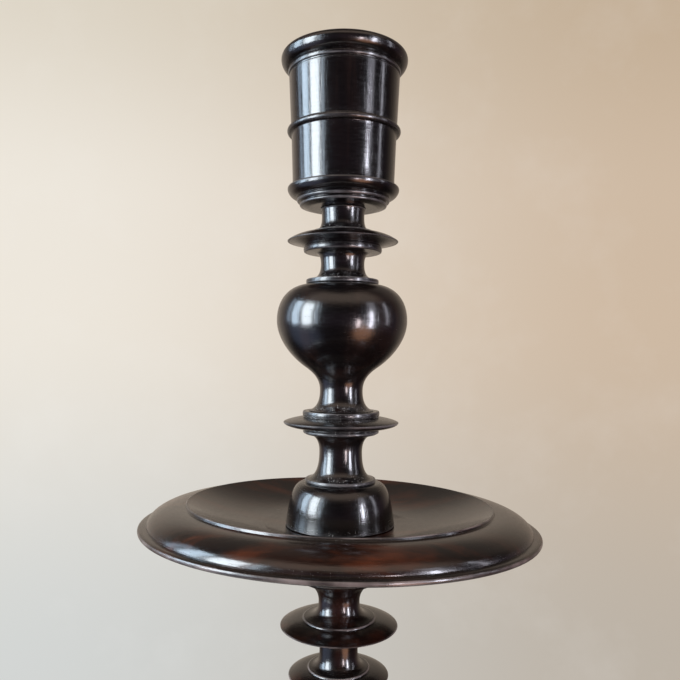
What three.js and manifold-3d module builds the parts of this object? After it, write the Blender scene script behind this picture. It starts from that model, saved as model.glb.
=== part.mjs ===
// A turned candlestick with a drip pan half way up, in millimetres with +Z up.
// The origin is on the floor, at the centre of the foot.
// Each turned piece is half an outline of (radius, height), measured from its own lower
// shoulder, spun about +Z and set at its seat height. Round tenons join the pieces.

import * as THREE from 'three';
import { mergeVertices } from 'three/addons/utils/BufferGeometryUtils.js';
import Module from 'manifold-3d';

// Driving dimensions.
const gap = 0.3; // glue line or working clearance between neighbours
const rimRadius = 35.7;
const rimBead = 4.6; // half the width of the rolled rim's section
const rimCrown = 3.9; // how far the rim rises above its widest point
const bulbRadius = 36.7;
const panRadius = 110;
const footRadius = 120;
const candleRadius = 20; // bore of the brass liner
const linerWall = 1.2;
const linerDepth = 59.7;
const tenonRadius = { socket: 9, bulb: 8, pan: 9.5, vase: 9, knop: 11, foot: 13 };
const tenonLength = { socket: 17.5, bulb: 12, pan: 33, vase: 16, knop: 16, foot: 20.2 };
const kerfWidth = 2.6;
const kerfDepth = 15.3;
const feltThickness = 2.5;

// Height of each piece's lower shoulder above the floor.
const seat = {
  feltRing: 0,
  footPlate: feltThickness + gap,
  footKnop: 32,
  vase: 108,
  discStem: 206,
  pan: 315,
  domeKnop: 335.6,
  bulb: 399.6,
  ringKnop: 470.6,
  socket: 513.2,
  liner: 538.1,
};

// How finely the outlines and the spins are cut.
const curveSteps = 2;
const slimSpin = 20;
const wideSpin = 36;

const ebonised = new THREE.MeshStandardMaterial({ color: 0x1a1412, roughness: 0.32, metalness: 0 });
const rosewood = new THREE.MeshStandardMaterial({ color: 0x2e1711, roughness: 0.36, metalness: 0 });
const wedgeWood = new THREE.MeshStandardMaterial({ color: 0x7a5a38, roughness: 0.6, metalness: 0 });
const brass = new THREE.MeshStandardMaterial({ color: 0xb08d4a, roughness: 0.35, metalness: 1 });
const felt = new THREE.MeshStandardMaterial({ color: 0x2d4a34, roughness: 0.95, metalness: 0 });

const wasm = await Module();
wasm.setup();

const candlestick = new THREE.Group();

function addPiece(name, geometry, material, height) {
  const mesh = new THREE.Mesh(geometry, material);
  mesh.name = name;
  mesh.position.z = height;
  candlestick.add(mesh);
}

function spin(outline, steps) {
  const geometry = new THREE.LatheGeometry(outline.getPoints(curveSteps), steps);
  geometry.rotateX(Math.PI / 2);
  return geometry;
}

// ---- mouldings shared by the outlines, each drawn upwards from where the outline stands ----

// A hollow neck: two coves that meet at the waist.
function neck(outline, waistRadius, waistHeight, topRadius, topHeight) {
  const start = outline.currentPoint.clone();
  outline.quadraticCurveTo(waistRadius, start.y, waistRadius, waistHeight);
  outline.quadraticCurveTo(waistRadius, topHeight, topRadius, topHeight);
}

// A narrow square band with eased corners.
function band(outline, radius, bottom, top) {
  const ease = 0.4;
  outline.lineTo(radius - ease, bottom);
  outline.lineTo(radius, bottom + ease);
  outline.lineTo(radius, top - ease);
  outline.lineTo(radius - ease, top);
}

// A knife-edged disc: hollowed below, gently crowned above.
function disc(outline, radius, edgeHeight, topRadius, topHeight) {
  outline.lineTo(radius - 0.7, edgeHeight - 0.6);
  outline.lineTo(radius, edgeHeight);
  const swell = topRadius + 0.65 * (radius - topRadius);
  outline.quadraticCurveTo(swell, topHeight - 0.2 * (topHeight - edgeHeight), topRadius, topHeight);
}

// The blunt dome that stands in a dish, with a small ring on its crown.
function dome(outline, footWidth, shoulderWidth, ringRadius, height) {
  outline.lineTo(footWidth, 0);
  outline.lineTo(shoulderWidth, 0.68 * height);
  outline.bezierCurveTo(
    shoulderWidth - 1.2, 0.85 * height,
    ringRadius + 0.55 * (shoulderWidth - ringRadius), height,
    ringRadius, height,
  );
}

function solidTenon(outline, radius, length) {
  outline.moveTo(0, -length);
  outline.lineTo(radius, -length);
  outline.lineTo(radius, 0);
}

// A blind hole bored down from the outline's top, which closes it on the axis.
function mortiseFromTop(outline, radius, top, depth) {
  outline.lineTo(radius + gap, top);
  outline.lineTo(radius + gap, top - depth - 2 * gap);
  outline.lineTo(0, top - depth - 2 * gap);
}

// ---- the pieces, from the candle down ----

function linerOutline() {
  const outer = candleRadius + linerWall;
  const flangeRadius = outer + 6.3;
  const top = linerDepth + linerWall;
  const outline = new THREE.Path();
  outline.moveTo(0, 0);
  outline.lineTo(outer - 1, 0);
  outline.lineTo(outer, 1);
  outline.lineTo(outer, top - linerWall);
  outline.lineTo(flangeRadius, top - linerWall);
  outline.lineTo(flangeRadius, top);
  outline.lineTo(candleRadius + 0.5, top);
  outline.lineTo(candleRadius, top - 0.5);
  outline.lineTo(candleRadius, linerWall);
  outline.lineTo(0, linerWall);
  return outline;
}

function socketOutline() {
  const bore = candleRadius + linerWall + gap;
  const boreFloor = seat.liner - seat.socket - gap;
  const top = 86.8;
  const collarTop = 77.8;
  const rimCentre = { x: rimRadius - rimBead, y: top - rimCrown };
  const rebateRadius = rimCentre.x - rimBead * Math.SQRT1_2;
  const rebateFloor = boreFloor + linerDepth;
  const outline = new THREE.Path();
  outline.moveTo(0, tenonLength.socket + 2 * gap);
  outline.lineTo(tenonRadius.socket + gap, tenonLength.socket + 2 * gap);
  outline.lineTo(tenonRadius.socket + gap, 0);
  outline.lineTo(20, 0);
  outline.lineTo(23.6, 0.9);
  band(outline, 24.6, 1.1, 2.5);
  outline.lineTo(24, 2.9);
  band(outline, 26.2, 3.3, 5.3);
  outline.bezierCurveTo(28.6, 5.7, 30.4, 7, 31.3, 9.4); // base roll, fullest near its flat top
  outline.quadraticCurveTo(31.8, 11.6, 30.6, 11.7);
  outline.lineTo(28.7, 12);
  outline.lineTo(29.5, 41.1);
  outline.quadraticCurveTo(32, 40.9, 32, 42.8); // bead round the middle
  outline.quadraticCurveTo(32, 44.8, 29.7, 44.6);
  outline.lineTo(31.2, 74.2);
  band(outline, 31.8, 74.8, 77.6);
  const lowerHalf = rimCentre.y - collarTop;
  outline.absellipse(rimCentre.x, rimCentre.y, rimBead, lowerHalf, -Math.PI / 4, 0, false, 0);
  outline.absellipse(rimCentre.x, rimCentre.y, rimBead, rimCrown, 0, 0.75 * Math.PI, false, 0);
  outline.lineTo(rebateRadius, rebateFloor);
  outline.lineTo(bore, rebateFloor);
  outline.lineTo(bore, boreFloor);
  outline.lineTo(0, boreFloor);
  return outline;
}

function ringKnopOutline() {
  const top = 42.3;
  const outline = new THREE.Path();
  solidTenon(outline, tenonRadius.socket, tenonLength.socket);
  band(outline, 20.5, 0, 2.5);
  outline.lineTo(17.6, 3);
  neck(outline, 12.3, 11.1, 15.4, 17.5);
  band(outline, 22.1, 17.9, 20.6);
  disc(outline, 31.3, 23.9, 18.2, 28.8);
  outline.lineTo(17.4, 29.5);
  neck(outline, 12, 38, 12.9, top);
  outline.lineTo(tenonRadius.socket, top);
  outline.lineTo(tenonRadius.socket, top + tenonLength.socket);
  outline.lineTo(0, top + tenonLength.socket);
  return outline;
}

function bulbOutline() {
  const widest = 50.4;
  const shoulderTop = 70.7;
  const outline = new THREE.Path();
  solidTenon(outline, tenonRadius.bulb, tenonLength.bulb);
  outline.lineTo(18.4, 0);
  outline.bezierCurveTo(13.6, 0.9, 12.1, 5.2, 12.1, 11);
  outline.bezierCurveTo(12.1, 17, 15.2, 20.6, 20.4, 24.2);
  outline.bezierCurveTo(28.4, 29.7, bulbRadius, 39.6, bulbRadius, widest);
  outline.bezierCurveTo(bulbRadius, 62.2, 30, shoulderTop, 17.4, shoulderTop);
  mortiseFromTop(outline, tenonRadius.socket, shoulderTop, tenonLength.socket);
  return outline;
}

function domeKnopOutline() {
  const top = 63.7;
  const outline = new THREE.Path();
  solidTenon(outline, tenonRadius.pan, tenonLength.pan);
  dome(outline, 30.6, 27.7, 20.4, 23.7);
  band(outline, 20, 24, 25.6);
  outline.lineTo(19.6, 25.9);
  neck(outline, 12.1, 40.6, 19.8, 50.8);
  outline.lineTo(20.6, 51.2);
  outline.quadraticCurveTo(22.4, 52.4, 20.5, 53.5);
  outline.quadraticCurveTo(31, 54.4, 32.4, 57.4); // a lens, rounded above and below
  outline.quadraticCurveTo(30.5, 59.2, 21.6, 60.5);
  band(outline, 21.7, 60.9, top);
  mortiseFromTop(outline, tenonRadius.bulb, top, tenonLength.bulb);
  return outline;
}

function panOutline() {
  const bore = tenonRadius.pan + gap;
  const dishFloor = 20.3;
  const dishEdge = 33.3;
  const outline = new THREE.Path();
  outline.moveTo(bore, 0);
  outline.lineTo(27, 0);
  outline.lineTo(27.6, 2.4);
  outline.bezierCurveTo(34, 10, 70, 13.9, 106.3, 18.6);
  outline.quadraticCurveTo(panRadius, 18.7, panRadius, 20.6);
  outline.quadraticCurveTo(panRadius, 23, 106.4, 23.6);
  outline.lineTo(105, 24.1);
  outline.bezierCurveTo(104.8, 28.2, 97, 31.8, 85.6, 31.8); // a full quarter round
  outline.lineTo(84.9, dishEdge);
  outline.quadraticCurveTo(60, dishFloor + 2, 31, dishFloor);
  outline.lineTo(bore, dishFloor);
  outline.closePath();
  return outline;
}

function discStemOutline() {
  const top = seat.pan - gap - seat.discStem;
  // A run of three discs that grow towards the pan, each with a collar above and below.
  const discs = [
    { radius: 24, height: 21.5, waist: 11, waistHeight: 11.5 },
    { radius: 28.2, height: 45.2, waist: 10.6, waistHeight: 34.5 },
    { radius: 33.1, height: 73.2, waist: 10.8, waistHeight: 58.5 },
  ];
  const outline = new THREE.Path();
  solidTenon(outline, tenonRadius.vase, tenonLength.vase);
  band(outline, 19.5, 0, 2.6);
  outline.lineTo(17, 3);
  for (const { radius, height, waist, waistHeight } of discs) {
    const collar = 0.62 * radius;
    neck(outline, waist, waistHeight, waist + 3, height - 5);
    band(outline, collar, height - 4.8, height - 2.6);
    disc(outline, radius, height, collar + 0.2, height + 3.6);
    outline.lineTo(collar - 0.5, height + 4.3);
  }
  outline.bezierCurveTo(14, 78, 11.6, 80.5, 11.6, 86.5);
  outline.bezierCurveTo(11.6, 91.5, 14.6, 96, 20.6, 98);
  outline.quadraticCurveTo(25.6, 99.4, 24.2, 104.6); // a small roll under the pan
  band(outline, 25, 105, top);
  outline.lineTo(tenonRadius.pan + gap, top);
  outline.lineTo(tenonRadius.pan + gap, 96);
  outline.lineTo(0, 96);
  return outline;
}

function vaseOutline() {
  const top = seat.discStem - gap - seat.vase;
  const belly = 41;
  const outline = new THREE.Path();
  solidTenon(outline, tenonRadius.knop, tenonLength.knop);
  outline.lineTo(20, 0);
  outline.bezierCurveTo(32, 0.6, belly, 10, belly, 24);
  outline.bezierCurveTo(belly, 40, 32, 47, 24, 57);
  outline.bezierCurveTo(17, 66, 13.6, 72, 13.6, 82);
  outline.bezierCurveTo(13.6, 90, 14.6, top - 1.5, 18, top);
  mortiseFromTop(outline, tenonRadius.vase, top, tenonLength.vase);
  return outline;
}

function footKnopOutline() {
  const top = seat.vase - gap - seat.footKnop;
  const outline = new THREE.Path();
  solidTenon(outline, tenonRadius.foot, tenonLength.foot);
  dome(outline, 38.5, 34.9, 25.8, 34.3);
  band(outline, 25.4, 34.7, 37.1);
  outline.lineTo(22.8, 37.6);
  neck(outline, 15.3, 50.5, 19, 61.2);
  band(outline, 25.2, 61.4, 64.5);
  disc(outline, 38, 68.5, 25.4, 72.3);
  band(outline, 25.2, 72.6, top);
  mortiseFromTop(outline, tenonRadius.knop, top, tenonLength.knop);
  return outline;
}

function footPlateOutline() {
  const bore = tenonRadius.foot + gap;
  const recessRadius = 70;
  const recessHeight = 9.7;
  const dishFloor = seat.footKnop - gap - seat.footPlate;
  const outline = new THREE.Path();
  outline.moveTo(bore, recessHeight);
  outline.lineTo(recessRadius, recessHeight);
  outline.lineTo(recessRadius + 2, 0);
  outline.lineTo(footRadius - 5, 0);
  outline.quadraticCurveTo(footRadius, 0.4, footRadius, 6);
  outline.quadraticCurveTo(footRadius, 11.6, 114.6, 12);
  outline.lineTo(112.8, 12.4);
  outline.lineTo(112.8, 14.2);
  outline.bezierCurveTo(111, 26, 103, 34, 94.8, 35);
  outline.lineTo(94.2, 37.2);
  outline.quadraticCurveTo(68, dishFloor + 1.5, 39, dishFloor);
  outline.lineTo(bore, dishFloor);
  outline.closePath();
  return outline;
}

function feltRingOutline() {
  const outline = new THREE.Path();
  outline.moveTo(74, 0);
  outline.lineTo(113.5, 0);
  outline.lineTo(113.5, feltThickness);
  outline.lineTo(74, feltThickness);
  outline.closePath();
  return outline;
}

// ---- the wedged tenon under the foot ----

function toSolid(geometry) {
  const bare = geometry.clone();
  bare.deleteAttribute('normal');
  bare.deleteAttribute('uv');
  const merged = mergeVertices(bare, 1e-4);
  const vertProperties = new Float32Array(merged.attributes.position.array);
  const triVerts = new Uint32Array(merged.index.array);
  return new wasm.Manifold(new wasm.Mesh({ numProp: 3, vertProperties, triVerts }));
}

function toGeometry(solid) {
  const mesh = solid.getMesh();
  const geometry = new THREE.BufferGeometry();
  geometry.setAttribute('position', new THREE.BufferAttribute(mesh.vertProperties, 3));
  geometry.setIndex(new THREE.BufferAttribute(mesh.triVerts, 1));
  geometry.computeVertexNormals();
  return geometry;
}

// The foot knop's tenon is sawn down the middle so that a wedge can spread it.
function footKnopGeometry() {
  const overrun = 2;
  const kerf = new THREE.BoxGeometry(3 * tenonRadius.foot, kerfWidth, kerfDepth + overrun);
  kerf.translate(0, 0, -tenonLength.foot + (kerfDepth - overrun) / 2);
  const knop = spin(footKnopOutline(), slimSpin);
  return toGeometry(toSolid(knop).subtract(toSolid(kerf)));
}

function wedgeGeometry() {
  const width = 22;
  const thickEnd = kerfWidth / 2 - gap;
  const thinEnd = 0.5;
  const side = new THREE.Shape();
  side.moveTo(-thickEnd, 0);
  side.lineTo(thickEnd, 0);
  side.lineTo(thinEnd, kerfDepth - gap);
  side.lineTo(-thinEnd, kerfDepth - gap);
  side.closePath();
  const geometry = new THREE.ExtrudeGeometry(side, { depth: width, bevelEnabled: false });
  geometry.translate(0, 0, -width / 2);
  geometry.rotateX(Math.PI / 2);
  geometry.rotateZ(Math.PI / 2);
  return geometry;
}

addPiece('candle_liner', spin(linerOutline(), slimSpin), brass, seat.liner);
addPiece('candle_socket', spin(socketOutline(), slimSpin), ebonised, seat.socket);
addPiece('ring_knop', spin(ringKnopOutline(), slimSpin), ebonised, seat.ringKnop);
addPiece('bulb_baluster', spin(bulbOutline(), slimSpin), ebonised, seat.bulb);
addPiece('dome_knop', spin(domeKnopOutline(), slimSpin), ebonised, seat.domeKnop);
addPiece('drip_pan', spin(panOutline(), wideSpin), rosewood, seat.pan);
addPiece('disc_stem', spin(discStemOutline(), slimSpin), rosewood, seat.discStem);
addPiece('vase_baluster', spin(vaseOutline(), slimSpin), rosewood, seat.vase);
addPiece('foot_knop', footKnopGeometry(), rosewood, seat.footKnop);
addPiece('foot_plate', spin(footPlateOutline(), wideSpin), rosewood, seat.footPlate);
addPiece('foot_wedge', wedgeGeometry(), wedgeWood, seat.footKnop - tenonLength.foot);
addPiece('felt_ring', spin(feltRingOutline(), wideSpin), felt, seat.feltRing);

export default candlestick;
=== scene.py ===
import math

import bpy
from mathutils import Matrix, Vector


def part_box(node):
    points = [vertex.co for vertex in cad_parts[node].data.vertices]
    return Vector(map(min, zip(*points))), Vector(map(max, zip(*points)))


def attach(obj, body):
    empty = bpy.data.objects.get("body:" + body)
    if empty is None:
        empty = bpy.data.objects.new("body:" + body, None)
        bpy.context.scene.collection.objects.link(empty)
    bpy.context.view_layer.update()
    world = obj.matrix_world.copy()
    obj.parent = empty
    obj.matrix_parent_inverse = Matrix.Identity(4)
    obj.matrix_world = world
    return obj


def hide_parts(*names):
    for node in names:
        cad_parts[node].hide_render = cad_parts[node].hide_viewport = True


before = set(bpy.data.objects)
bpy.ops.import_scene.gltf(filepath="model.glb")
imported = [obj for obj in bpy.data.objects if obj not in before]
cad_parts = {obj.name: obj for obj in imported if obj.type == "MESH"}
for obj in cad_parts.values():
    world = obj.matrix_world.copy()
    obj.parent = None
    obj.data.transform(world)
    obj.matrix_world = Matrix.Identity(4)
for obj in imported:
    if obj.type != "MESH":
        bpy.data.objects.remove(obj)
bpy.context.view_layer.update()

mm = 0.001


class Wire:
    # a socket that can be added, multiplied and so on, for shader and geometry trees alike
    def __init__(self, bench, socket):
        self.bench = bench
        self.socket = socket

    def __add__(self, other):
        return self.bench.maths("ADD", self, other)

    def __sub__(self, other):
        return self.bench.maths("SUBTRACT", self, other)

    def __rsub__(self, other):
        return self.bench.maths("SUBTRACT", other, self)

    def __mul__(self, other):
        return self.bench.maths("MULTIPLY", self, other)

    def __truediv__(self, other):
        return self.bench.maths("DIVIDE", self, other)

    def __mod__(self, other):
        return self.bench.maths("MODULO", self, other)

    def __gt__(self, other):
        return self.bench.maths("GREATER_THAN", self, other)

    __radd__ = __add__
    __rmul__ = __mul__

    def clamped(self):
        node = self.bench.add("ShaderNodeClamp", {}, {"Value": self})
        return self.bench.wire(node)

    def smooth(self, low, high):
        sockets = {"Value": self, "From Min": low, "From Max": high}
        node = self.bench.add("ShaderNodeMapRange", {"interpolation_type": "SMOOTHSTEP"}, sockets)
        return self.bench.wire(node)


class Bench:
    # lays nodes out in one tree; add() takes a type, its settings, and its sockets' values or links
    def __init__(self, tree):
        self.tree = tree
        self.tree.nodes.clear()

    def add(self, kind, settings=None, sockets=None):
        node = self.tree.nodes.new(kind)
        for name, value in (settings or {}).items():
            setattr(node, name, value)
        for key, value in (sockets or {}).items():
            if isinstance(value, Wire):
                self.tree.links.new(value.socket, node.inputs[key])
            else:
                node.inputs[key].default_value = value
        return node

    def wire(self, node, output=0):
        return Wire(self, node.outputs[output])

    def maths(self, operation, *values):
        node = self.add("ShaderNodeMath", {"operation": operation}, dict(enumerate(values)))
        return self.wire(node)

    def mixColours(self, mask, first, second, blend="MIX"):
        sockets = {0: mask, 6: rgba(first), 7: rgba(second)}
        node = self.add("ShaderNodeMix", {"data_type": "RGBA", "blend_type": blend}, sockets)
        return self.wire(node, 2)


def rgba(colour):
    if isinstance(colour, Wire):
        return colour
    return (*colour, 1)


class Outline:
    # half a turned shape: (radius, height) points in millimetres, drawn up the outside
    curveStep = 0.7  # millimetres of a curve to each point
    arcStep = 9  # degrees of an arc to each point
    sharpTurn = 18  # degrees; corners that turn more than this are softened

    def __init__(self, radius, height):
        self.points = [(radius, height)]

    def to(self, *corners):
        self.points.extend(corners)
        return self

    def curve(self, *controls):
        # a Bezier curve from where the outline stands; the last control is its end
        hull = [Vector(p) for p in (self.points[-1], *controls)]
        length = sum((b - a).length for a, b in zip(hull, hull[1:]))
        steps = max(6, round(length / self.curveStep))
        for i in range(1, steps + 1):
            level = hull
            while len(level) > 1:
                level = [a.lerp(b, i / steps) for a, b in zip(level, level[1:])]
            self.points.append(tuple(level[0]))
        return self

    def ellipse(self, radius, height, wide, tall, start, end):
        # round a section's centre at (radius, height), angles in degrees from the outward level
        steps = max(6, round(abs(end - start) / self.arcStep))
        for i in range(steps + 1):
            angle = math.radians(start + (end - start) * i / steps)
            self.points.append((radius + wide * math.cos(angle), height + tall * math.sin(angle)))
        return self

    def arc(self, radius, height, section, start, end):
        return self.ellipse(radius, height, section, section, start, end)

    def neck(self, waist, waistHeight, topRadius, topHeight):
        startHeight = self.points[-1][1]
        self.curve((waist, startHeight + 0.3), (waist, waistHeight))
        return self.curve((waist, topHeight - 0.3), (topRadius, topHeight))

    def band(self, radius, bottom, top, bow=0.0):
        # a narrow collar, with its face bowed outwards where bow is given
        if not bow:
            return self.to((radius, bottom), (radius, top))
        self.to((radius - bow, bottom))
        return self.curve((radius + bow, (bottom + top) / 2), (radius - bow, top))

    def disc(self, radius, edgeHeight, topRadius, topHeight, hollow=0.4):
        # knife-edged: hollowed below, gently crowned above
        startRadius, startHeight = self.points[-1]
        middle = (startRadius + radius) / 2
        middleHeight = startHeight + hollow * (edgeHeight - startHeight)
        self.curve((middle, middleHeight), (radius - 0.25, edgeHeight - 0.3))
        self.to((radius, edgeHeight))
        swell = topRadius + 0.62 * (radius - topRadius)
        return self.curve((swell, topHeight - 0.22 * (topHeight - edgeHeight)), (topRadius, topHeight))

    def dome(self, footWidth, shoulderWidth, ringRadius, height):
        self.to((footWidth, 0))
        self.curve(
            (footWidth - 0.9, 0.3 * height),
            (shoulderWidth + 1.2, 0.51 * height),
            (shoulderWidth, 0.68 * height),
        )
        return self.curve(
            (shoulderWidth - 1.15, 0.845 * height),
            (ringRadius + 0.55 * (shoulderWidth - ringRadius), height),
            (ringRadius, height),
        )

    def softened(self, radius):
        # every sharp corner gets a small arc
        points = [Vector(p) for p in self.points]
        points = [p for i, p in enumerate(points) if i == 0 or (p - points[i - 1]).length > 0.02]
        made = [points[0]]
        for before, corner, after in zip(points, points[1:], points[2:]):
            back, ahead = before - corner, after - corner
            turn = math.pi - back.angle(ahead)
            if turn < math.radians(self.sharpTurn) or corner.x < 0.01:
                made.append(corner)
                continue
            reach = min(radius * math.tan(turn / 2), 0.45 * back.length, 0.45 * ahead.length)
            first = corner + back.normalized() * reach
            last = corner + ahead.normalized() * reach
            for i in range(5):
                t = i / 4
                made.append(first.lerp(corner, t).lerp(corner.lerp(last, t), t))
        made.append(points[-1])
        return evenlySpaced(made)


def evenlySpaced(points, longest=1.4):
    # long straight runs are divided, so that what is stored at their ends stays there
    made = [points[0]]
    for a, b in zip(points, points[1:]):
        parts = math.ceil((b - a).length / longest)
        made.extend(a.lerp(b, i / parts) for i in range(1, parts + 1))
    return made


def profileMesh(name, outline, seat, cornerRadius, dusty, rubbedAndHighlit):
    # the outline as a line of vertices in the XZ plane, with its length, edges and coves stored on it
    points = outline.softened(cornerRadius)
    places = [(p.x * mm, 0, (p.y + seat) * mm) for p in points]
    mesh = bpy.data.meshes.new(name)
    mesh.from_pydata(places, [(i, i + 1) for i in range(len(points) - 1)], [])
    along = [0.0]
    for a, b in zip(points, points[1:]):
        along.append(along[-1] + (b - a).length)
    bends = []
    for i in range(len(points)):
        if i == 0 or i == len(points) - 1:
            bends.append(0.0)
            continue
        back, ahead = points[i] - points[i - 1], points[i + 1] - points[i]
        bends.append(back.cross(ahead) / max(back.length * ahead.length, 1e-9))
    # how far each mark reaches, where it is asked for, and how much the outline's own bends count
    marks = {
        "edge": {"sign": 1, "reach": 0.8, "heights": rubbedAndHighlit, "spread": 0.45, "share": 1.0},
        "cove": {"sign": -1, "reach": 1.8, "heights": dusty, "spread": 1.8, "share": 0.1},
    }
    for label, mark in marks.items():
        reach, spread = mark["reach"], mark["spread"]
        values = []
        for i, here in enumerate(along):
            total = sum(
                max(0.0, mark["sign"] * bend) * math.exp(-(((there - here) / reach) ** 2))
                for bend, there in zip(bends, along)
                if abs(there - here) < 3 * reach
            )
            values.append(min(1.0, total))
        asked = [
            max([0] + [math.exp(-(((p.y - height) / spread) ** 2)) for height in mark["heights"]])
            for p in points
        ]
        values = [max(mark["share"] * v, a) for v, a in zip(values, asked)]
        mesh.attributes.new(label, "FLOAT", "POINT").data.foreach_set("value", values)
    mesh.attributes.new("along", "FLOAT", "POINT").data.foreach_set("value", [a * mm for a in along])
    return mesh


lathing = {"mergeWithin": 2e-6, "creaseAngle": 38, "wobbleScale": 28.0}


def latheTree(size):
    tree = bpy.data.node_groups.new("turned on the axis", "GeometryNodeTree")
    for label, kind, side in (
        ("Geometry", "NodeSocketGeometry", "INPUT"),
        ("Steps Round", "NodeSocketInt", "INPUT"),
        ("Hand Wobble", "NodeSocketFloat", "INPUT"),
        ("Wobble Seed", "NodeSocketFloat", "INPUT"),
        ("Material", "NodeSocketMaterial", "INPUT"),
        ("Geometry", "NodeSocketGeometry", "OUTPUT"),
    ):
        tree.interface.new_socket(label, in_out=side, socket_type=kind)
    bench = Bench(tree)
    inputs = bench.add("NodeGroupInput")
    profile, steps = bench.wire(inputs, "Geometry"), bench.wire(inputs, "Steps Round")
    counted = bench.add("GeometryNodeAttributeDomainSize", {"component": "MESH"}, {"Geometry": profile})
    count = bench.wire(counted, "Point Count")
    grid = bench.add("GeometryNodeMeshGrid", {}, {"Vertices X": steps + 1, "Vertices Y": count})
    index = bench.wire(bench.add("GeometryNodeInputIndex"))
    row = index % count
    column = (index - row) / count

    def made(kind, settings=None, sockets=None):
        return bench.wire(bench.add(kind, settings, sockets))

    def fromProfile(kind, field):
        settings = {"data_type": kind, "domain": "POINT"}
        sockets = {"Geometry": profile, "Value": field, "Index": row}
        return made("GeometryNodeSampleIndex", settings, sockets)

    def named(label):
        return made("GeometryNodeInputNamedAttribute", {"data_type": "FLOAT"}, {"Name": label})

    def stored(shape, label, value, kind, domain):
        settings = {"data_type": kind, "domain": domain}
        sockets = {"Geometry": shape, "Name": label, "Value": value}
        return made("GeometryNodeStoreNamedAttribute", settings, sockets)

    place = fromProfile("FLOAT_VECTOR", made("GeometryNodeInputPosition"))
    split = bench.add("ShaderNodeSeparateXYZ", {}, {0: place})
    radius, height = bench.wire(split, "X"), bench.wire(split, "Z")
    turn = column / steps
    angle = turn * math.tau
    acrossX, acrossY = bench.maths("COSINE", angle), bench.maths("SINE", angle)
    spun = made("ShaderNodeCombineXYZ", {}, {"X": radius * acrossX, "Y": radius * acrossY, "Z": height})
    shape = made("GeometryNodeSetPosition", {}, {"Geometry": bench.wire(grid), "Position": spun})
    for label in ("along", "edge", "cove"):
        shape = stored(shape, label, fromProfile("FLOAT", named(label)), "FLOAT", "POINT")
    flat = made("ShaderNodeCombineXYZ", {}, {"X": turn, "Y": fromProfile("FLOAT", named("along"))})
    settings = {"data_type": "FLOAT_VECTOR", "domain": "POINT"}
    onPoints = made("GeometryNodeFieldOnDomain", settings, {0: flat})
    shape = stored(shape, "UVMap", onPoints, "FLOAT2", "CORNER")
    sockets = {"Geometry": shape, "Distance": size["mergeWithin"]}
    shape = made("GeometryNodeMergeByDistance", {}, sockets)

    # a hand-turned piece is never quite true, so the surface is eased inwards here and there
    sockets = {
        "Vector": made("GeometryNodeInputPosition"),
        "W": bench.wire(inputs, "Wobble Seed"),
        "Scale": size["wobbleScale"],
        "Detail": 1.0,
    }
    noise = made("ShaderNodeTexNoise", {"noise_dimensions": "4D"}, sockets)
    depth = noise * bench.wire(inputs, "Hand Wobble") * -1.0
    sockets = {0: made("GeometryNodeInputNormal"), "Scale": depth}
    inwards = made("ShaderNodeVectorMath", {"operation": "SCALE"}, sockets)
    shape = made("GeometryNodeSetPosition", {}, {"Geometry": shape, "Offset": inwards})

    shape = made("GeometryNodeSetShadeSmooth", {"domain": "FACE"}, {"Geometry": shape})
    corner = made("GeometryNodeInputMeshEdgeAngle") > math.radians(size["creaseAngle"])
    sockets = {"Geometry": shape, "Selection": corner, "Shade Smooth": False}
    shape = made("GeometryNodeSetShadeSmooth", {"domain": "EDGE"}, sockets)
    shape = made("GeometryNodeRealizeInstances", {}, {"Geometry": shape})
    sockets = {"Geometry": shape, "Material": bench.wire(inputs, "Material")}
    shape = made("GeometryNodeSetMaterial", {}, sockets)
    bench.add("NodeGroupOutput", {}, {"Geometry": shape})
    return tree


def applyTree(obj, tree, values):
    # sets the tree's named inputs, then swaps the object's mesh for the plain result
    modifier = obj.modifiers.new(tree.name, "NODES")
    modifier.node_group = tree
    inputs = [item for item in tree.interface.items_tree if item.in_out == "INPUT"]
    identifiers = {item.name: item.identifier for item in inputs}
    for label, value in values.items():
        modifier[identifiers[label]] = value
    bpy.context.view_layer.update()
    evaluated = obj.evaluated_get(bpy.context.evaluated_depsgraph_get())
    mesh = bpy.data.meshes.new_from_object(evaluated)
    obj.modifiers.remove(modifier)
    obj.data = mesh
    mesh.name = obj.name


def newObject(name, data):
    obj = bpy.data.objects.new(name, data)
    bpy.context.scene.collection.objects.link(obj)
    return obj


lathe = latheTree(lathing)


def turn(
    name, outline, seat, material, steps=192, wobble=0.06, corner=0.3, seed=0.0, dusty=(), rubbedAndHighlit=()
):
    # dusty lists the heights where dust has settled; the other list gives the heights where an edge is
    # painted pale, partly as rubbed-through wear and partly as a painted highlight
    obj = newObject(name, profileMesh(name, outline, seat, corner, dusty, rubbedAndHighlit))
    values = {
        "Steps Round": steps,
        "Hand Wobble": wobble * mm,
        "Wobble Seed": seed,
        "Material": material,
    }
    applyTree(obj, lathe, values)
    print("turned", name, len(obj.data.vertices), "vertices")
    return obj


def lowest(node):
    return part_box(node)[0].z / mm


def highest(node):
    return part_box(node)[1].z / mm


def newMaterial(name):
    material = bpy.data.materials.new(name)
    material.use_nodes = True
    return material, Bench(material.node_tree)


def finishMaterial(bench, sockets):
    shader = bench.add("ShaderNodeBsdfPrincipled", {}, sockets)
    bench.add("ShaderNodeOutputMaterial", {}, {"Surface": bench.wire(shader)})


def attribute(bench, name):
    return bench.wire(bench.add("ShaderNodeAttribute", {"attribute_name": name}), "Fac")


def noiseOn(bench, vector, scale, detail=2.0, roughness=0.5, distortion=0.0):
    sockets = {
        "Vector": vector,
        "Scale": scale,
        "Detail": detail,
        "Roughness": roughness,
        "Distortion": distortion,
    }
    return bench.wire(bench.add("ShaderNodeTexNoise", {}, sockets))


def stretched(bench, scale, turned=(0, 0, 0)):
    coords = bench.wire(bench.add("ShaderNodeTexCoord"), "Object")
    mapping = bench.add("ShaderNodeMapping", {}, {"Vector": coords, "Rotation": turned, "Scale": scale})
    return bench.wire(mapping)


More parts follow.
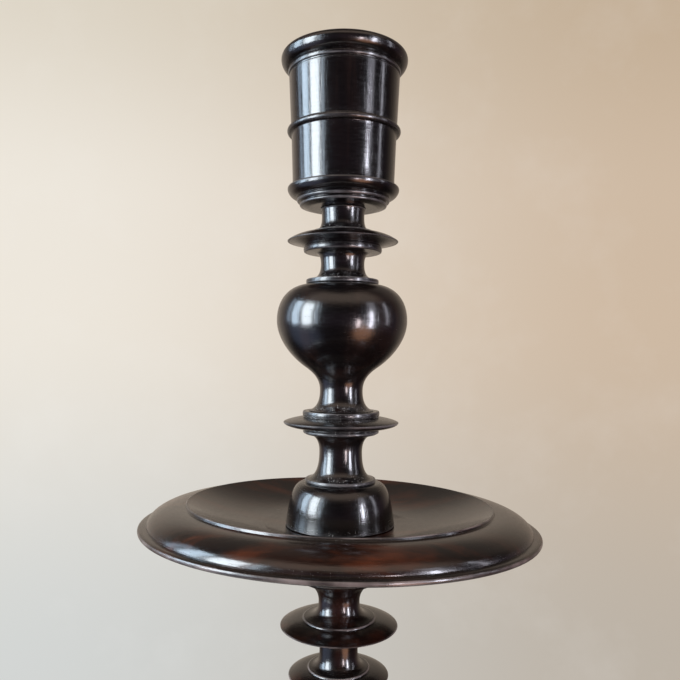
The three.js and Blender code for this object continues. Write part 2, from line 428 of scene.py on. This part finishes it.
def bumped(bench, strength, millimetres, height):
    sockets = {"Strength": strength, "Distance": millimetres * mm, "Height": height}
    return bench.wire(bench.add("ShaderNodeBump", {}, sockets))


polishedWood = {
    "ebony": {
        "ground": (0.0022, 0.0016, 0.0017),
        "vein": (0.0075, 0.0042, 0.0036),
        "blush": (0.016, 0.0065, 0.0042),
        "blushAmount": 0.35,
        # the pale edge colour is partly rubbed-through wear and partly a painted highlight
        "wornAndHighlight": (0.085, 0.078, 0.078),
        "roughness": 0.18,
        "grooves": 0.06,
        "coat": 0.3,
    },
    "rosewood": {
        "ground": (0.0032, 0.002, 0.0018),
        "vein": (0.012, 0.0045, 0.0028),
        "blush": (0.085, 0.02, 0.007),
        "blushAmount": 0.8,
        # the pale edge colour is partly rubbed-through wear and partly a painted highlight
        "wornAndHighlight": (0.14, 0.11, 0.1),
        "roughness": 0.2,
        "grooves": 0.045,
        "coat": 0.3,
    },
}


# scales of the wood's patterns, lengths of the turning tool's rings in metres, and the dust
figure = {
    "upright": {"grain": (75, 75, 5), "patches": (30, 30, 12), "pores": (900, 900, 60)},
    "board": {"grain": (5, 75, 75), "patches": (16, 42, 42), "pores": (60, 900, 900)},
    "rubAndGlint": 60,
    "smears": (45, 45, 18),
    "fineRings": {"pitch": 0.0006, "length": 0.005},
    "broadRings": {"pitch": 0.0019, "length": 0.02},
}
dustLook = {"colour": (0.42, 0.4, 0.38), "film": 140, "specks": 1100}


def evenScale(scale):
    return (scale, scale, scale)


def woodMaterial(name, look, grain="upright"):
    # the grain runs along Z in the stem's pieces and along X in the wide boards
    material, bench = newMaterial(name)
    scales = figure[grain]
    along = attribute(bench, "along")
    edge = attribute(bench, "edge")
    cove = attribute(bench, "cove")

    veins = noiseOn(bench, stretched(bench, scales["grain"]), 1.0, 5.0, 0.62, 0.6).smooth(0.42, 0.68)
    patches = noiseOn(bench, stretched(bench, scales["patches"]), 1.0, 4.0, 0.6, 0.4).smooth(0.5, 0.7)
    colour = bench.mixColours(veins, look["ground"], look["vein"])
    blush = patches * look["blushAmount"] * (0.35 + 0.65 * veins)
    colour = bench.mixColours(blush, colour, look["blush"])
    rubAndGlint = noiseOn(bench, stretched(bench, evenScale(figure["rubAndGlint"])), 1.0, 3.0).smooth(0.4, 0.7)
    # sharp convex edges are painted pale in patches: partly rubbed-through wear, partly a painted
    # highlight along the edge
    colour = bench.mixColours(edge.smooth(0.7, 1.0) * (0.2 + 0.8 * rubAndGlint), colour, look["wornAndHighlight"])

    # dust settles in the coves as a faint film with a few pale specks
    film = noiseOn(bench, stretched(bench, evenScale(dustLook["film"])), 1.0, 3.0).smooth(0.4, 0.75)
    sockets = {"Vector": stretched(bench, evenScale(dustLook["specks"])), "Scale": 1.0}
    dots = bench.add("ShaderNodeTexVoronoi", {}, sockets)
    speck = 1.0 - bench.wire(dots, "Distance").smooth(0.1, 0.25)
    chosen = bench.add("ShaderNodeSeparateColor", {}, {0: bench.wire(dots, "Color")})
    speck = speck * bench.wire(chosen, 0).smooth(0.2, 0.8)
    dust = (cove * film * 0.08 + speck * (cove * 1.6 + 0.002)).clamped()
    colour = bench.mixColours(dust, colour, dustLook["colour"])

    # fine rings left by the turning tool: long round the piece, narrow up its outline
    def rings(pitch, length):
        sockets = {
            "Vector": stretched(bench, evenScale(1 / length)),
            "W": along * (1 / pitch),
            "Scale": 1.0,
            "Detail": 2.0,
        }
        return bench.wire(bench.add("ShaderNodeTexNoise", {"noise_dimensions": "4D"}, sockets))

    fineRings, broadRings = rings(**figure["fineRings"]), rings(**figure["broadRings"])
    pores = noiseOn(bench, stretched(bench, scales["pores"]), 1.0, 2.0)
    height = fineRings + broadRings * 0.35 + pores.smooth(0.3, 0.5) * 0.3 + dust * 0.5
    bump = bumped(bench, 1.0, look["grooves"], height)
    smear = noiseOn(bench, stretched(bench, figure["smears"]), 1.0, 4.0, 0.6)
    streak = (fineRings - 0.5) * 0.25 + (smear - 0.5) * 0.12
    finishMaterial(
        bench,
        {
            "Base Color": colour,
            "Roughness": (look["roughness"] + streak + edge * 0.12 + dust * 0.45).clamped(),
            "Normal": bump,
            "Coat Weight": (look["coat"] - dust * 0.3).clamped(),
            "Coat Roughness": 0.1,
            "IOR": 1.52,
        },
    )
    return material


brassLook = {
    "bright": (0.72, 0.5, 0.2),
    "tarnished": (0.3, 0.17, 0.07),
    "roughness": 0.24,
    "blotches": 45,
    "ringsPerMetre": 2400.0,
}


def brassMaterial(look):
    material, bench = newMaterial("spun brass")
    along = attribute(bench, "along")
    blotches = noiseOn(bench, stretched(bench, evenScale(look["blotches"])), 1.0, 5.0, 0.6)
    tarnish = blotches.smooth(0.42, 0.72)
    colour = bench.mixColours(tarnish, look["bright"], look["tarnished"])
    sockets = {"W": along * look["ringsPerMetre"], "Scale": 1.0, "Detail": 2.0}
    rings = bench.wire(bench.add("ShaderNodeTexNoise", {"noise_dimensions": "1D"}, sockets))
    finishMaterial(
        bench,
        {
            "Base Color": colour,
            "Metallic": 1.0,
            "Roughness": look["roughness"] + tarnish * 0.25,
            "Normal": bumped(bench, 0.4, 0.05, rings),
        },
    )
    return material


feltLook = {
    "deep": (0.012, 0.045, 0.024),
    "raised": (0.045, 0.13, 0.07),
    "faded": (0.11, 0.13, 0.08),
    "fibres": 420,
    "patches": 30,
}


def feltMaterial(look):
    material, bench = newMaterial("green felt")
    fibres = noiseOn(bench, stretched(bench, evenScale(look["fibres"])), 1.0, 6.0, 0.75, 1.5)
    wear = noiseOn(bench, stretched(bench, evenScale(look["patches"])), 1.0, 3.0).smooth(0.4, 0.7)
    colour = bench.mixColours(fibres.smooth(0.3, 0.7), look["deep"], look["raised"])
    colour = bench.mixColours(wear * 0.3, colour, look["faded"])
    finishMaterial(
        bench,
        {
            "Base Color": colour,
            "Roughness": 0.95,
            "Sheen Weight": 0.4,
            "Sheen Roughness": 0.5,
            "Normal": bumped(bench, 0.8, 0.4, fibres),
        },
    )
    return material


wedgeLook = {"early": (0.36, 0.22, 0.11), "late": (0.2, 0.11, 0.05), "grain": (300, 300, 18)}


def wedgeMaterial(look):
    material, bench = newMaterial("wedge wood")
    grain = noiseOn(bench, stretched(bench, look["grain"]), 1.0, 4.0, 0.6, 0.5)
    colour = bench.mixColours(grain.smooth(0.35, 0.7), look["early"], look["late"])
    bump = bumped(bench, 0.5, 0.1, grain)
    finishMaterial(bench, {"Base Color": colour, "Roughness": 0.7, "Normal": bump})
    return material


# where the hand goes, the polish is duller; the stem's rosewood is darker than the boards'
polishedWood["handledEbony"] = {**polishedWood["ebony"], "roughness": 0.21, "grooves": 0.065}
polishedWood["stemRosewood"] = {
    **polishedWood["rosewood"],
    "vein": (0.007, 0.003, 0.002),
    "blush": (0.035, 0.009, 0.0045),
}

ebony = woodMaterial("ebonised wood", polishedWood["ebony"])
handledEbony = woodMaterial("ebonised wood, handled", polishedWood["handledEbony"])
rosewoodStem = woodMaterial("rosewood stem", polishedWood["stemRosewood"])
rosewoodBoard = woodMaterial("rosewood board", polishedWood["rosewood"], "board")
brass = brassMaterial(brassLook)
felt = feltMaterial(feltLook)
wedgeWood = wedgeMaterial(wedgeLook)
print("finishes made")

glue = 0.3  # the glue line that each joint leaves
socketTenon = {"radius": 9, "length": 17.5}
bulbTenon = {"radius": 8, "length": 12}
panTenon = {"radius": 9.5, "length": 33}
vaseTenon = {"radius": 9, "length": 16}
knopTenon = {"radius": 11, "length": 16}
footTenon = {"radius": 13, "length": 20.2}


def tenonBelow(tenon):
    return Outline(0, -tenon["length"]).to((tenon["radius"], -tenon["length"]), (tenon["radius"], 0))


def closeOnMortise(outline, tenon, top):
    bore = tenon["radius"] + glue
    floor = top - tenon["length"] - 2 * glue
    return outline.to((bore, top), (bore, floor), (0, floor))


def standsOn(obj, node, body="stand"):
    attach(obj, body)
    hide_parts(node)


liner = {"bore": 20, "wall": 1.2, "flange": 27.5, "depth": 59.7}


def linerOutline(size):
    outer = size["bore"] + size["wall"]
    top = size["depth"] + size["wall"]
    shape = Outline(0, 0).to((outer - 1.5, 0))
    shape.curve((outer, 0), (outer, 1.5))
    under = top - size["wall"]
    shape.to((outer, under - size["wall"]))
    shape.curve((outer, under), (outer + 1.2, under))
    shape.to((size["flange"] - 0.4, under))
    shape.curve((size["flange"], under), (size["flange"], top - 0.6), (size["flange"] - 0.5, top))
    shape.to((size["bore"] + 1.4, top))
    shape.curve((size["bore"], top), (size["bore"], top - 1.4))
    shape.to((size["bore"], size["wall"] + 1.5))
    shape.curve((size["bore"], size["wall"]), (size["bore"] - 1.5, size["wall"]))
    return shape.to((0, size["wall"]))


seat = lowest("candle_liner")
candleLiner = turn("candleLiner", linerOutline(liner), seat, brass, wobble=0.02, corner=0.15)
standsOn(candleLiner, "candle_liner", "liner")

socket = {
    "height": 86.8,
    "rim": 35.7,
    "rimBead": 4.6,
    "rimCrown": 3.9,
    "bore": 21.5,
    "boreFloor": 24.6,
    "rebateFloor": 84.3,
}


def socketOutline(size):
    bead = size["rimBead"]
    mortise, mortiseTop = socketTenon["radius"] + glue, socketTenon["length"] + 2 * glue
    shape = Outline(0, mortiseTop).to((mortise, mortiseTop), (mortise, 0))
    shape.to((20, 0), (23.6, 0.9))
    shape.band(24.6, 1.1, 2.5, bow=0.3).to((24.0, 2.8), (24.0, 3.1))
    shape.band(26.2, 3.3, 5.3, bow=0.5).to((25.7, 5.5))
    shape.curve((28.6, 5.7), (30.4, 7.0), (31.3, 9.4))  # base roll, fullest near its flat top
    shape.curve((31.6, 10.4), (31.5, 11.4), (30.6, 11.7)).to((28.75, 12.0), (28.7, 16), (29.6, 41))
    shape.arc(30.2, 42.9, 1.8, -80, 80)  # bead round the middle
    shape.to((29.85, 45), (31.25, 73.6), (30.7, 74.2), (30.7, 74.8))
    shape.band(31.8, 75.0, 77.4, bow=0.3).to((31.2, 77.9))
    rimCentre = size["rim"] - bead
    middle = size["height"] - size["rimCrown"]
    shape.ellipse(rimCentre, middle, bead, middle - 77.8, -75, 0)
    shape.ellipse(rimCentre, middle, bead, size["rimCrown"], 0, 135)
    rebate = shape.points[-1][0]
    shape.to((rebate, size["rebateFloor"]), (size["bore"], size["rebateFloor"]))
    return shape.to((size["bore"], size["boreFloor"]), (0, size["boreFloor"]))


seat = highest("candle_socket") - socket["height"]
candleSocket = turn("candleSocket", socketOutline(socket), seat, ebony, seed=1.0)
standsOn(candleSocket, "candle_socket")

ringKnop = {"height": 42.3, "ring": 31.3, "ringHeight": 23.9, "collar": 20.5}


def ringKnopOutline(size):
    shape = tenonBelow(socketTenon)
    shape.band(size["collar"], 0, 2.4, bow=0.2).to((18.2, 2.8))
    shape.neck(12.3, 11.1, 15.4, 17.3).to((21.2, 17.6))
    shape.band(22.1, 17.9, 20.6, bow=0.3).to((21.3, 20.9))
    shape.disc(size["ring"], size["ringHeight"], 18.4, 28.7, hollow=0.75)
    shape.to((18.0, 28.9)).curve((18.0, 29.7), (16.2, 29.8))
    shape.neck(12.0, 37.5, 12.9, size["height"])
    top = size["height"] + socketTenon["length"]
    return shape.to((socketTenon["radius"], size["height"]), (socketTenon["radius"], top), (0, top))


seat = lowest("ring_knop") + socketTenon["length"]
ringKnopPiece = turn(
    "ringKnop",
    ringKnopOutline(ringKnop),
    seat,
    handledEbony,
    corner=0.25,
    seed=2.0,
    dusty=(3.4, 30.0),
)
standsOn(ringKnopPiece, "ring_knop")

bulb = {"widest": 36.7, "widestHeight": 50.4, "waist": 12.1, "shoulder": 70.7}


def bulbOutline(size):
    shape = tenonBelow(bulbTenon).to((18.4, 0))
    shape.curve((13.9, 0.9), (size["waist"], 5.2), (size["waist"], 11))
    shape.curve((size["waist"], 17), (15.2, 20.6), (20.4, 24.2))
    shape.curve((28.4, 29.75), (size["widest"], 39.65), (size["widest"], size["widestHeight"]))
    shape.curve((size["widest"], 62.2), (30, size["shoulder"]), (17.4, size["shoulder"]))
    return closeOnMortise(shape, socketTenon, size["shoulder"])


seat = lowest("bulb_baluster") + bulbTenon["length"]
bulbPiece = turn("bulbBaluster", bulbOutline(bulb), seat, handledEbony, seed=3.0, dusty=(1.5,))
standsOn(bulbPiece, "bulb_baluster")

domeKnop = {"height": 63.7, "ring": 32.4, "ringHeight": 57.4, "waist": 12.1}


def domeKnopOutline(size):
    shape = tenonBelow(panTenon)
    shape.dome(30.6, 27.7, 20.4, 23.7).to((19.6, 24.0))
    shape.band(20.0, 24.1, 25.4, bow=0.3).to((19.6, 25.8))
    shape.neck(size["waist"], 40.6, 19.8, 50.7).to((20.6, 51.2))
    shape.curve((21.8, 51.3), (21.6, 53.0), (20.4, 53.3)).to((20.6, 53.6))
    shape.curve((27, 54.3), (size["ring"] - 0.2, 55.4), (size["ring"], size["ringHeight"]))
    shape.curve((size["ring"] - 0.3, 58.2), (27, 59.6), (21.4, 60.4)).to((21.0, 60.7))
    shape.band(21.7, 60.9, size["height"], bow=0.3)
    return closeOnMortise(shape, bulbTenon, size["height"])


seat = lowest("dome_knop") + panTenon["length"]
domeKnopPiece = turn(
    "domeKnop",
    domeKnopOutline(domeKnop),
    seat,
    handledEbony,
    seed=4.0,
    dusty=(0.4, 26.6, 52.6, 61.2),
    # the ring's knife edge is painted pale here: partly wear, partly a painted highlight
    rubbedAndHighlit=(57.0,),
)
standsOn(domeKnopPiece, "dome_knop")

pan = {
    "radius": 110,
    "dishFloor": 20.3,
    "dishEdge": 33.3,
    "firmRadius": 31,  # as far as the dome's foot the board is true
    "easing": 12,
    "farDown": 1.3,  # degrees out of level
    "rightDown": 1.0,
}


def panOutline(size):
    bore = panTenon["radius"] + glue
    shape = Outline(bore, 0).to((27, 0))
    shape.band(27.6, 0.4, 2.4).to((26.8, 2.9))
    shape.curve((36, 11), (70, 13.9), (104.5, 18.1)).to((105.4, 18.7))
    shape.curve((109.2, 18.4), (size["radius"], 19.4), (size["radius"], 20.5))
    shape.curve((size["radius"], 21.6), (109.0, 22.1), (107.0, 22.2))
    shape.to((105.6, 22.3), (105.6, 22.7))
    shape.curve((104.6, 27.4), (97, 31.8), (85.4, 31.8))  # a full quarter round
    shape.to((84.9, size["dishEdge"] - 0.2), (84.5, size["dishEdge"]))
    shape.curve((62, size["dishFloor"] + 2.6), (46, size["dishFloor"]), (30, size["dishFloor"]))
    return shape.to((bore, size["dishFloor"]), (bore, 0))


def settle(obj, size):
    # the old board has sunk out of true, on the far side and on the right
    for vertex in obj.data.vertices:
        out = (math.hypot(vertex.co.x, vertex.co.y) / mm - size["firmRadius"]) / size["easing"]
        share = min(1, max(0, out))
        awayFall = vertex.co.y * math.radians(size["farDown"])
        sideFall = vertex.co.x * math.radians(size["rightDown"])
        vertex.co.z -= share * (awayFall + sideFall)


seat = lowest("drip_pan")
panPiece = turn("dripPan", panOutline(pan), seat, rosewoodBoard, steps=288, seed=5.0)
settle(panPiece, pan)
standsOn(panPiece, "drip_pan")

discStem = {
    "height": 108.7,
    "discs": [
        {"radius": 24, "height": 21.5, "waist": 11, "waistHeight": 11.5},
        {"radius": 28.2, "height": 45.2, "waist": 10.6, "waistHeight": 34.5},
        {"radius": 33.1, "height": 73.2, "waist": 10.8, "waistHeight": 58.5},
    ],
}


def discStemOutline(size):
    shape = tenonBelow(vaseTenon)
    shape.band(19.5, 0, 2.6, bow=0.3).to((17, 3))
    for disc in size["discs"]:
        height, collar = disc["height"], 0.62 * disc["radius"]
        shape.neck(disc["waist"], disc["waistHeight"], disc["waist"] + 3, height - 5)
        shape.to((collar - 0.8, height - 4.8)).band(collar, height - 4.6, height - 2.8, bow=0.3)
        shape.to((collar - 0.6, height - 2.5))
        shape.disc(disc["radius"], height, collar + 0.6, height + 3.4)
        shape.to((collar, height + 3.6)).curve((collar, height + 4.6), (collar - 1.6, height + 4.7))
    shape.curve((14, 78.4), (11.6, 80.5), (11.6, 86.5))
    shape.curve((11.6, 91.5), (14.6, 96), (20.6, 98)).to((21.2, 98.5))
    shape.curve((24.4, 99.4), (25.3, 102.2), (24.2, 104.6))  # a small roll under the pan
    shape.band(25, 105, size["height"], bow=0.3)
    bore = panTenon["radius"] + glue
    return shape.to((bore, size["height"]), (bore, 96), (0, 96))


seat = highest("disc_stem") - discStem["height"]
discStemPiece = turn("discStem", discStemOutline(discStem), seat, rosewoodStem, corner=0.25, seed=6.0)
standsOn(discStemPiece, "disc_stem")

vase = {"height": 97.7, "belly": 41, "waist": 13.6}


def vaseOutline(size):
    shape = tenonBelow(knopTenon).to((20, 0))
    shape.curve((32, 0.6), (size["belly"], 10), (size["belly"], 24))
    shape.curve((size["belly"], 40), (32, 47), (24, 57))
    shape.curve((17, 66), (size["waist"], 72), (size["waist"], 82))
    shape.curve((size["waist"], 90), (14.6, size["height"] - 1.5), (18, size["height"]))
    return closeOnMortise(shape, vaseTenon, size["height"])


seat = lowest("vase_baluster") + knopTenon["length"]
vasePiece = turn("vaseBaluster", vaseOutline(vase), seat, rosewoodStem, seed=7.0)
standsOn(vasePiece, "vase_baluster")

footKnop = {
    "height": 75.7,
    "ring": 38,
    "ringHeight": 68.5,
    "kerfWidth": 2.6,
    "kerfDepth": 15.3,
    "overrun": 2,
}


def footKnopOutline(size):
    shape = tenonBelow(footTenon)
    shape.dome(38.5, 34.9, 25.8, 34.3).to((24.8, 34.6))
    shape.band(25.4, 34.8, 37.0, bow=0.4).to((23.0, 37.4))
    shape.neck(15.3, 50.5, 19, 61.0).to((24.4, 61.3))
    shape.band(25.2, 61.5, 64.3, bow=0.4).to((24.4, 64.8))
    shape.disc(size["ring"], size["ringHeight"], 25.2, 72.1).to((24.6, 72.4))
    shape.band(25.2, 72.7, size["height"], bow=0.4)
    return closeOnMortise(shape, knopTenon, size["height"])


def cutKerf(obj, size):
    # the sawn slot that the wedge spreads; the cutter overruns the tenon's end
    bpy.ops.mesh.primitive_cube_add(size=1)
    saw = bpy.context.object
    length, overrun = size["kerfDepth"] + size["overrun"], size["overrun"]
    saw.scale = (3 * footTenon["radius"] * mm, size["kerfWidth"] * mm, length * mm)
    saw.location.z = (lowest("foot_knop") + (size["kerfDepth"] - overrun) / 2) * mm
    modifier = obj.modifiers.new("kerf", "BOOLEAN")
    modifier.operation, modifier.object, modifier.solver = "DIFFERENCE", saw, "EXACT"
    bpy.context.view_layer.update()
    mesh = bpy.data.meshes.new_from_object(obj.evaluated_get(bpy.context.evaluated_depsgraph_get()))
    obj.modifiers.remove(modifier)
    obj.data = mesh
    bpy.data.objects.remove(saw)


seat = lowest("foot_knop") + footTenon["length"]
footKnopPiece = turn("footKnop", footKnopOutline(footKnop), seat, rosewoodStem, seed=8.0)
cutKerf(footKnopPiece, footKnop)
standsOn(footKnopPiece, "foot_knop")

footPlate = {"radius": 120, "height": 37.2, "dishFloor": 28.9, "recess": 70, "recessHeight": 9.7}


def footPlateOutline(size):
    bore = footTenon["radius"] + glue
    radius, recess, recessHeight = size["radius"], size["recess"], size["recessHeight"]
    shape = Outline(bore, recessHeight).to((recess - 1.5, recessHeight))
    shape.curve((recess, recessHeight), (recess + 0.4, recessHeight - 1.5))
    shape.to((recess + 2, 0), (radius - 5, 0))
    shape.curve((radius - 1, 0.2), (radius, 3), (radius, 6))
    shape.curve((radius, 9), (radius - 1.5, 11.7), (114.8, 11.9))
    shape.to((113.2, 12.2), (112.8, 12.8), (112.8, 14.2))
    shape.curve((111, 26), (103, 34), (94.8, 35.0))
    shape.to((94.3, size["height"] - 0.2), (93.9, size["height"]))
    shape.curve((72, size["dishFloor"] + 2.0), (54, size["dishFloor"]), (38, size["dishFloor"]))
    return shape.to((bore, size["dishFloor"]), (bore, recessHeight))


seat = lowest("foot_plate")
footPlatePiece = turn(
    "footPlate", footPlateOutline(footPlate), seat, rosewoodBoard, steps=288, seed=9.0
)
standsOn(footPlatePiece, "foot_plate")

# the wedge keeps its own flat-sided mesh and takes a finer finish
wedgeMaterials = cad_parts["foot_wedge"].data.materials
wedgeMaterials.clear()
wedgeMaterials.append(wedgeWood)

feltRing = {"inside": 74, "outside": 113.5, "thickness": 2.5}


def feltOutline(size):
    inside, outside, thickness = size["inside"], size["outside"], size["thickness"]
    return Outline(inside, 0).to((outside, 0), (outside, thickness), (inside, thickness), (inside, 0))


seat = lowest("felt_ring")
feltPiece = turn("feltRing", feltOutline(feltRing), seat, felt, wobble=0.2, corner=0.5, seed=10.0)
standsOn(feltPiece, "felt_ring")
print("pieces made")

stage = {
    "floorRadius": 0.46,
    "floorSteps": 96,
    "floor": (0.66, 0.6, 0.53),
    # the wall as seen directly, at the left and at the right, by height: painted light, lighter and
    # cooler at the left, darker and warmer at the right
    "wallTop": ((0.72, 0.66, 0.56), (0.54, 0.42, 0.3)),
    "wallMiddle": ((0.85, 0.8, 0.72), (0.62, 0.49, 0.37)),
    "wallLow": ((0.65, 0.67, 0.66), (0.5, 0.445, 0.38)),
    "floorFade": (0.18, 0.44),
    # soft patches of light below eye level: where they are, how sharply they end, their colour
    "glows": [
        {"towards": (0.56, -0.62, -0.55), "spread": (0.93, 0.99), "colour": (2.8, 1.4, 0.85)},
        {"towards": (-0.82, -0.15, -0.45), "spread": (0.8, 0.98), "colour": (0.35, 0.42, 0.62)},
    ],
}


def makeFloor(size):
    # a round floor that fades out into the wall
    mesh = bpy.data.meshes.new("floor")
    radius, steps = size["floorRadius"], size["floorSteps"]
    angles = [math.tau * i / steps for i in range(steps)]
    ring = [(radius * math.cos(angle), radius * math.sin(angle), 0) for angle in angles]
    mesh.from_pydata(ring, [], [list(range(steps))])
    floor = newObject("floor", mesh)
    material, bench = newMaterial("pale floor")
    coords = bench.wire(bench.add("ShaderNodeTexCoord"), "Object")
    measured = bench.add("ShaderNodeVectorMath", {"operation": "LENGTH"}, {0: coords})
    faded = bench.wire(measured, "Value").smooth(*size["floorFade"])
    sockets = {"Base Color": rgba(size["floor"]), "Roughness": 0.6}
    solid = bench.add("ShaderNodeBsdfPrincipled", {}, sockets)
    clear = bench.add("ShaderNodeBsdfTransparent")
    sockets = {0: faded, 1: bench.wire(solid), 2: bench.wire(clear)}
    mix = bench.add("ShaderNodeMixShader", {}, sockets)
    bench.add("ShaderNodeOutputMaterial", {}, {"Surface": bench.wire(mix)})
    mesh.materials.append(material)


# what the room throws back, by direction; "front" is the viewer's side
surroundings = {
    "front": (0.08, 0.055, 0.08),
    "frontRaised": (0.016, 0.014, 0.016),
    "behind": ((0.56, 0.48, 0.4), (0.36, 0.29, 0.23)),  # left, right
    "below": (0.012, 0.01, 0.01),
    "aboveFront": (0.02, 0.017, 0.016),
    "aboveBehind": (0.2, 0.165, 0.14),
    "ceiling": (0.95, 0.74, 0.6),
}


def makeWorld(size, room):
    # seen directly it is the wall, with the room's light painted on it, lighter at the left and darker
    # at the right; as light it is bright behind and above, dim in front
    world = bpy.data.worlds.new("studio")
    bpy.context.scene.world = world
    world.use_nodes = True
    bench = Bench(world.node_tree)
    coords = bench.wire(bench.add("ShaderNodeTexCoord"), "Generated")
    direction = bench.add("ShaderNodeSeparateXYZ", {}, {0: coords})
    x, y, z = (bench.wire(direction, axis) for axis in "XYZ")
    across = x.smooth(-0.45, 0.45)
    wall = bench.mixColours(across, *size["wallMiddle"])
    wall = bench.mixColours(z.smooth(0.2, 0.48), wall, bench.mixColours(across, *size["wallTop"]))
    wall = bench.mixColours(z.smooth(0.08, -0.42), wall, bench.mixColours(across, *size["wallLow"]))
    patchy = noiseOn(bench, coords, 9.0, 5.0, 0.6)
    wall = bench.mixColours((patchy - 0.5) * 0.25, wall, (1, 1, 1), "SCREEN")
    front = bench.mixColours(z.smooth(0.1, 0.3), room["front"], room["frontRaised"])
    behind = bench.mixColours(x.smooth(-0.5, 0.6), *room["behind"])
    level = bench.mixColours(y.smooth(0.15, 0.85), front, behind)
    low = bench.mixColours(z.smooth(-0.55, -0.15), room["below"], level)
    upper = bench.mixColours(y.smooth(-0.1, 0.5), room["aboveFront"], room["aboveBehind"])
    lit = bench.mixColours(z.smooth(0.35, 0.6), low, upper)
    ceiling = z.smooth(0.45, 0.75) * z.smooth(0.99, 0.9) * y.smooth(0.2, -0.3)
    lit = bench.mixColours(ceiling, lit, room["ceiling"])
    for glow in size["glows"]:
        towards = Vector(glow["towards"]).normalized()
        settings = {"operation": "DOT_PRODUCT"}
        facing = bench.add("ShaderNodeVectorMath", settings, {0: coords, 1: towards})
        mask = bench.wire(facing, "Value").smooth(*glow["spread"])
        lit = bench.mixColours(mask, lit, glow["colour"])
    seen = bench.wire(bench.add("ShaderNodeLightPath"), "Is Camera Ray")
    colour = bench.mixColours(seen, lit, wall)
    background = bench.add("ShaderNodeBackground", {}, {"Color": colour, "Strength": 1.0})
    bench.add("ShaderNodeOutputWorld", {}, {"Surface": bench.wire(background)})


makeFloor(stage)
makeWorld(stage, surroundings)

# bearings are in degrees from the viewer's side, with the left negative; "middle" is a height
windows = {
    "windowLeftEdge": {
        "bearing": -106, "away": 1.6, "middle": 0.88, "width": 0.2, "height": 1.1,
        "glow": 3, "tint": (0.6, 0.78, 1.0),
    },
    "windowLeftFar": {
        "bearing": -88, "away": 1.6, "middle": 0.8, "width": 0.45, "height": 1.26,
        "glow": 12, "tint": (0.66, 0.83, 1.0),
    },
    "windowLeftMiddle": {
        "bearing": -63, "away": 1.6, "middle": 0.72, "width": 0.58, "height": 1.4,
        "glow": 20, "tint": (0.84, 0.93, 1.0),
    },
    "windowLeftNear": {
        "bearing": -45, "away": 1.6, "middle": 0.72, "width": 0.15, "height": 1.4,
        "glow": 7, "tint": (0.7, 0.85, 1.0),
    },
    "windowRightLow": {
        "bearing": 51, "away": 1.9, "middle": 0.37, "width": 0.19, "height": 1.2,
        "glow": 42, "tint": (0.88, 0.88, 1.0),
    },
    "windowRightHigh": {
        "bearing": 55, "away": 1.9, "middle": 1.35, "width": 0.46, "height": 0.75,
        "glow": 2.8, "tint": (0.88, 0.88, 1.0),
    },
    "windowRightFar": {
        "bearing": 84, "away": 1.9, "middle": 0.8, "width": 0.14, "height": 1.4,
        "glow": 6, "tint": (0.88, 0.88, 1.0),
    },
    "mirrorRight": {
        "bearing": 28, "away": 1.9, "middle": 0.05, "width": 0.2, "height": 0.7,
        "glow": 24, "tint": (1.0, 0.85, 0.88),
    },
}
aimHeight = 0.45  # the windows all face the stem here


def makeWindow(name, size):
    light = bpy.data.lights.new(name, "AREA")
    light.shape = "RECTANGLE"
    light.size, light.size_y = size["width"], size["height"]
    light.energy = size["glow"] * math.pi * size["width"] * size["height"]
    light.color = size["tint"]
    obj = newObject(name, light)
    bearing, away = math.radians(size["bearing"]), size["away"]
    place = Vector((math.sin(bearing) * away, -math.cos(bearing) * away, size["middle"]))
    target = Vector((0, 0, aimHeight))
    obj.location = place
    obj.rotation_euler = (target - place).to_track_quat("-Z", "Y").to_euler()
    obj.visible_camera = False


for name, size in windows.items():
    makeWindow(name, size)

view = {
    "distance": 387,
    "eyeBelowTop": 168.65,
    "shift": 0.0206,
    "roll": 0.6,
    "sideStep": -0.95,
    "lens": 36.27,
}


def makeCamera(size):
    camera = bpy.data.cameras.new("viewer")
    camera.lens = size["lens"]
    camera.sensor_width = 36
    camera.clip_start = 0.02
    camera.shift_y = size["shift"]
    obj = newObject("viewer", camera)
    top = highest("candle_socket")
    place = Vector((size["sideStep"], -size["distance"], top - size["eyeBelowTop"])) * mm
    tilt = Matrix.Rotation(math.radians(90), 4, "X")
    roll = Matrix.Rotation(math.radians(size["roll"]), 4, "Z")
    obj.matrix_world = Matrix.Translation(place) @ tilt @ roll
    bpy.context.scene.camera = obj


makeCamera(view)
bpy.context.scene.view_settings.view_transform = "Standard"
print("stage, light and camera set")
